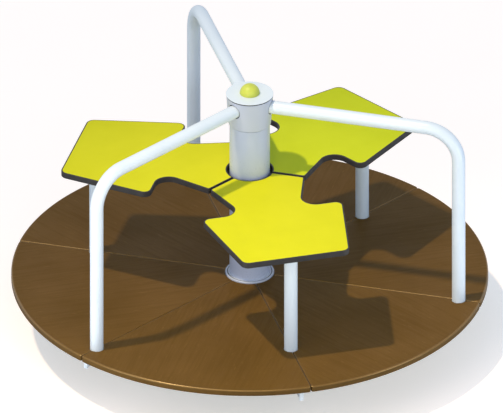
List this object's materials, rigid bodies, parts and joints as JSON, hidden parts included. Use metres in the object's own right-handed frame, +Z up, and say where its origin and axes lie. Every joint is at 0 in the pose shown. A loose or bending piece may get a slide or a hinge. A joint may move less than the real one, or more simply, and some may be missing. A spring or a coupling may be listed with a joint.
{
  "type": "merry-go-round",
  "caption": "Playground merry-go-round: a round deck turns on a ground spindle and carries a central column, bent handrails and arrow-shaped seats.",
  "frame": {"origin": "on the spin axis, at the underside of the ground base", "axes": "+Z up along the spin axis; -Y runs out along the front seat and +Y along a handrail, so the whole is mirror-symmetric about the YZ plane except for the arms' angle sections"},
  "size_m": [1.5, 1.5, 0.8793],
  "materials": {
    "white_paint": "smooth white powder coat with a cool tint",
    "deck_board": "brown film-faced anti-slip plywood with a fine mesh print",
    "seat_board": "yellow polyethylene board with a charcoal core, fine matt grain",
    "dome_plastic": "yellow-green moulded plastic",
    "zinc": "hot-dip galvanised or zinc plated",
    "bearing_steel": "ground and turned steel",
    "rubber": "black nitrile",
    "dark_paint": "satin charcoal powder coat"
  },
  "bodies": {
    "base": {"ground_base": "zinc", "spindle": "bearing_steel", "spindle_nut": "zinc", "dust_seal": "rubber", "lower_bearing_inner": "bearing_steel", "upper_bearing_inner": "bearing_steel"},
    "rotor": {"hub_column": "white_paint", "hub_head": "white_paint", "top_plate": "white_paint", "dome_cap": "dome_plastic", "deck_collar": "white_paint", "lower_bearing_housing": "bearing_steel", "lower_bearing_outer": "bearing_steel", "upper_bearing_outer": "bearing_steel", "deck_frame": "white_paint", "seat_ring": "dark_paint", "deck_panel_1": "deck_board", "deck_panel_2": "deck_board", "deck_panel_3": "deck_board", "deck_panel_4": "deck_board", "deck_panel_5": "deck_board", "deck_panel_6": "deck_board", "handrail_1": "white_paint", "handrail_2": "white_paint", "handrail_3": "white_paint", "seat_post_1": "white_paint", "seat_post_2": "white_paint", "seat_post_3": "white_paint", "seat_panel_1": "seat_board", "seat_panel_2": "seat_board", "seat_panel_3": "seat_board", "handrail_bolt_1": "zinc", "handrail_bolt_2": "zinc", "handrail_bolt_3": "zinc", "seat_post_bolt_1": "zinc", "seat_post_bolt_2": "zinc", "seat_post_bolt_3": "zinc", "seat_bolt_outer_1": "zinc", "seat_bolt_outer_2": "zinc", "seat_bolt_outer_3": "zinc", "seat_bolt_outer_4": "zinc", "seat_bolt_outer_5": "zinc", "seat_bolt_outer_6": "zinc", "seat_bolt_inner_1": "zinc", "seat_bolt_inner_2": "zinc", "seat_bolt_inner_3": "zinc", "deck_screw_1": "zinc", "deck_screw_2": "zinc", "deck_screw_3": "zinc", "deck_screw_4": "zinc", "deck_screw_5": "zinc", "deck_screw_6": "zinc", "deck_screw_7": "zinc", "deck_screw_8": "zinc", "deck_screw_9": "zinc", "deck_screw_10": "zinc", "deck_screw_11": "zinc", "deck_screw_12": "zinc"},
    "lower_cage": {"lower_bearing_cage": "bearing_steel"},
    "upper_cage": {"upper_bearing_cage": "bearing_steel"}
  },
  "joints": [
    {"name": "rotor_spin", "type": "hinge", "parent": "base", "child": "rotor", "pos_m": [0, 0, 0.2], "axis": [0, 0, 1], "continuous": true},
    {"name": "lower_cage_spin", "type": "hinge", "parent": "base", "child": "lower_cage", "pos_m": [0, 0, 0.108], "axis": [0, 0, 1], "continuous": true},
    {"name": "upper_cage_spin", "type": "hinge", "parent": "base", "child": "upper_cage", "pos_m": [0, 0, 0.717], "axis": [0, 0, 1], "continuous": true}
  ],
  "couplings": [
    {"joint": "lower_cage_spin", "follows": "rotor_spin", "ratio": 0.5623},
    {"joint": "upper_cage_spin", "follows": "rotor_spin", "ratio": 0.595}
  ]
}
